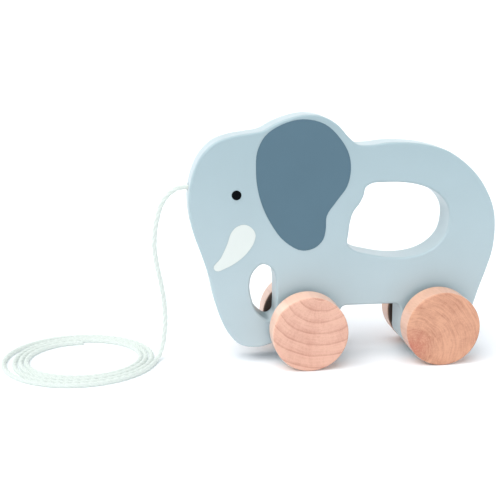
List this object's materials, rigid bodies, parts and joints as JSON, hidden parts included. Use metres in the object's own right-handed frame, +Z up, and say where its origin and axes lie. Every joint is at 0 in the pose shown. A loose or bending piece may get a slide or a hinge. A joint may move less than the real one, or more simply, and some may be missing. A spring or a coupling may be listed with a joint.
{
  "type": "pull-along toy",
  "caption": "Wooden pull-along elephant on round wheels, with a handle opening through its back and a pull cord at its forehead",
  "frame": {"origin": "on the floor under the middle of the toy, midway between the forehead and the rump and between the left and right wheels", "axes": "+X from the head towards the rump, +Y towards the elephant's right side along the axles, +Z up"},
  "size_m": [0.3085, 0.101, 0.1521],
  "materials": {
    "body_paint": "satin paint on wood",
    "ear_paint": "satin paint on wood",
    "tusk_paint": "satin paint on wood",
    "eye_paint": "satin paint on wood",
    "wheel_wood": "turned and sanded, clear matt lacquer",
    "dowel_wood": "plain turned dowel",
    "cord": "twisted cotton cord"
  },
  "bodies": {
    "board": {"body_board": "body_paint", "ear_left": "ear_paint", "ear_right": "ear_paint", "tusk_left": "tusk_paint", "tusk_right": "tusk_paint", "eye_left": "eye_paint", "eye_right": "eye_paint", "cord_peg": "dowel_wood", "cord_knot": "cord", "cord_run": "cord", "cord_coil": "cord"},
    "front_wheelset": {"front_axle": "dowel_wood", "front_left_wheel": "wheel_wood", "front_right_wheel": "wheel_wood", "front_left_washer": "dowel_wood", "front_right_washer": "dowel_wood"},
    "rear_wheelset": {"rear_axle": "dowel_wood", "rear_left_wheel": "wheel_wood", "rear_right_wheel": "wheel_wood", "rear_left_washer": "dowel_wood", "rear_right_washer": "dowel_wood"}
  },
  "joints": [
    {"name": "front_axle_turn", "type": "hinge", "parent": "board", "child": "front_wheelset", "pos_m": [-0.024, 0, 0.023], "axis": [0, 1, 0], "continuous": true},
    {"name": "rear_axle_turn", "type": "hinge", "parent": "board", "child": "rear_wheelset", "pos_m": [0.058, 0, 0.023], "axis": [0, 1, 0], "continuous": true}
  ]
}
